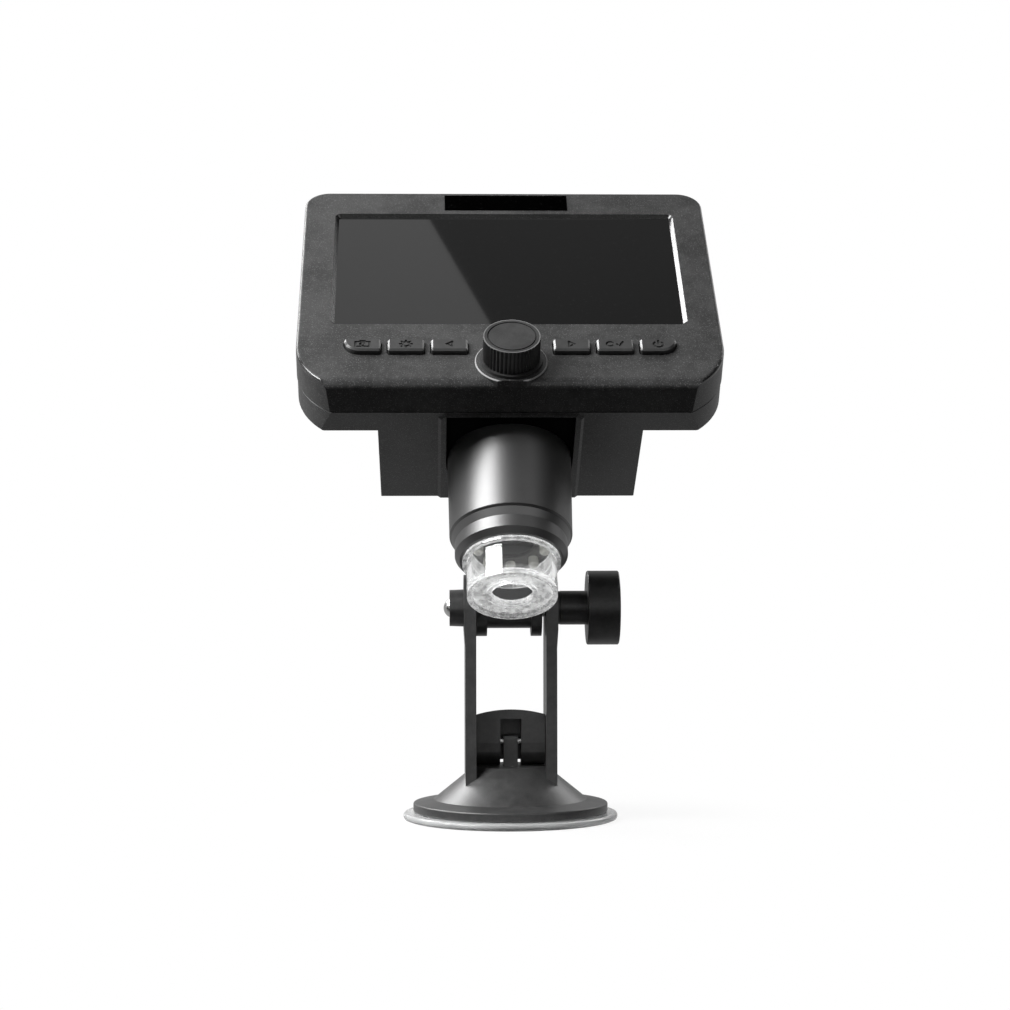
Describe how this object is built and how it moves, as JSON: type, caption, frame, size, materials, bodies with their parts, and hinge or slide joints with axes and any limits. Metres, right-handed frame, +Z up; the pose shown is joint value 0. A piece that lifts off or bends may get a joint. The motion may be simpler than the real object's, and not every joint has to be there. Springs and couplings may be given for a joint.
{
  "type": "lcd digital microscope",
  "caption": "Handheld digital microscope: leaning screen case with push keys and focus knob, optical barrel with clear guard tube, on a tilting fork stand with a lever-locked suction cup.",
  "frame": {"origin": "centre of the suction disc's underside, on the surface that the stand holds to", "axes": "+Z up, -Y towards the user's side of the screen, X along the screen's width and the tilt axis"},
  "size_m": [0.1158, 0.0928, 0.1783],
  "materials": {
    "stand_plastic": "fine matte moulded black plastic",
    "knob_plastic": "matte black plastic",
    "case_plastic": "spark-textured black plastic",
    "key_plastic": "satin black plastic",
    "barrel_plastic": "satin black",
    "gasket": "dull black sealing plate",
    "screen_glass": "smoked glossy window",
    "plate": "glossy black, bare",
    "lcd": "dark display glass",
    "clear_plastic": "clear polished acrylic",
    "clear_rubber": "clear soft vinyl",
    "lens_glass": "coated optical glass",
    "lamp_lens": "clear epoxy",
    "circuit_board": "solder mask",
    "gear_plastic": "natural acetal",
    "battery_wrap": "shrink sleeve, bare",
    "steel": "bright plated steel",
    "brass": "turned brass"
  },
  "bodies": {
    "stand": {"fork_base": "stand_plastic", "suction_disc": "clear_rubber", "clamp_nut": "steel", "clamp_washer": "knob_plastic"},
    "stem": {"cup_stem": "stand_plastic", "lever_pin": "steel"},
    "lever": {"cam_lever": "stand_plastic"},
    "clamp": {"clamp_knob": "knob_plastic", "clamp_bolt": "steel"},
    "head": {"tilt_bracket": "stand_plastic", "bracket_screws": "steel", "front_shell": "case_plastic", "rear_shell": "case_plastic", "screen_window": "screen_glass", "lcd_panel": "lcd", "name_plate": "plate", "main_board": "circuit_board", "key_board": "circuit_board", "usb_socket": "steel", "card_socket": "steel", "case_screws": "steel", "shaft_bush": "brass", "sensor_board": "circuit_board", "barrel_plate": "gasket", "barrel": "barrel_plastic", "barrel_nose": "barrel_plastic", "lamp_board": "circuit_board", "lamps": "lamp_lens", "battery": "battery_wrap"},
    "cover": {"battery_cover": "case_plastic"},
    "focus": {"focus_knob": "knob_plastic", "focus_shaft": "steel", "drive_pinion": "gear_plastic"},
    "sleeve": {"focus_sleeve": "gear_plastic"},
    "lens": {"lens_carriage": "barrel_plastic", "lens_cell": "barrel_plastic", "front_lens": "lens_glass", "rear_lens": "lens_glass"},
    "tube": {"clear_tube": "clear_plastic"},
    "camera_button": {"camera_key": "key_plastic"},
    "settings_button": {"settings_key": "key_plastic"},
    "left_button": {"left_key": "key_plastic"},
    "right_button": {"right_key": "key_plastic"},
    "ok_button": {"ok_key": "key_plastic"},
    "power_button": {"power_key": "key_plastic"}
  },
  "joints": [
    {"name": "head_tilt", "type": "hinge", "parent": "stand", "child": "head", "pos_m": [0, 0, 0.05825], "axis": [1, 0, 0], "range_deg": [-55, 38]},
    {"name": "clamp_turn", "type": "hinge", "parent": "stand", "child": "clamp", "pos_m": [0, 0, 0.05825], "axis": [1, 0, 0], "range_deg": [0, 270]},
    {"name": "lever_turn", "type": "hinge", "parent": "stem", "child": "lever", "pos_m": [0, 0, 0.02135], "axis": [1, 0, 0], "range_deg": [0, 75]},
    {"name": "stem_slide", "type": "slide", "parent": "stand", "child": "stem", "axis": [0, 0, -1], "range_m": [0, 0.002], "deforming": ["suction_disc"]},
    {"name": "focus_turn", "type": "hinge", "parent": "head", "child": "focus", "pos_m": [-0.0004, -0.02353, 0.12486], "axis": [0, -0.6293, 0.7771], "range_deg": [-360, 360]},
    {"name": "sleeve_turn", "type": "hinge", "parent": "head", "child": "sleeve", "pos_m": [-0.0004, -0.00086, 0.1065], "axis": [0, 0.5446, 0.8387], "range_deg": [-86, 86]},
    {"name": "lens_slide", "type": "slide", "parent": "head", "child": "lens", "axis": [0, -0.5446, -0.8387], "range_m": [-0.00286, 0.00286]},
    {"name": "tube_pull", "type": "slide", "parent": "head", "child": "tube", "axis": [0, -0.5446, -0.8387], "range_m": [0, 0.012]},
    {"name": "cover_slide", "type": "slide", "parent": "head", "child": "cover", "axis": [0, 0.5446, 0.8387], "range_m": [0, 0.022]},
    {"name": "camera_press", "type": "slide", "parent": "head", "child": "camera_button", "axis": [0, 0.6293, -0.7771], "range_m": [0, 0.0006], "stiffness_N_per_m": 600, "springref_m": -0.001},
    {"name": "settings_press", "type": "slide", "parent": "head", "child": "settings_button", "axis": [0, 0.6293, -0.7771], "range_m": [0, 0.0006], "stiffness_N_per_m": 600, "springref_m": -0.001},
    {"name": "left_press", "type": "slide", "parent": "head", "child": "left_button", "axis": [0, 0.6293, -0.7771], "range_m": [0, 0.0006], "stiffness_N_per_m": 600, "springref_m": -0.001},
    {"name": "right_press", "type": "slide", "parent": "head", "child": "right_button", "axis": [0, 0.6293, -0.7771], "range_m": [0, 0.0006], "stiffness_N_per_m": 600, "springref_m": -0.001},
    {"name": "ok_press", "type": "slide", "parent": "head", "child": "ok_button", "axis": [0, 0.6293, -0.7771], "range_m": [0, 0.0006], "stiffness_N_per_m": 600, "springref_m": -0.001},
    {"name": "power_press", "type": "slide", "parent": "head", "child": "power_button", "axis": [0, 0.6293, -0.7771], "range_m": [0, 0.0006], "stiffness_N_per_m": 600, "springref_m": -0.001}
  ],
  "couplings": [
    {"joint": "lever_turn", "follows": "stem_slide", "rad_per_m": 654.5},
    {"joint": "focus_turn", "follows": "lens_slide", "rad_per_m": 2199.1},
    {"joint": "sleeve_turn", "follows": "lens_slide", "rad_per_m": -523.6}
  ]
}
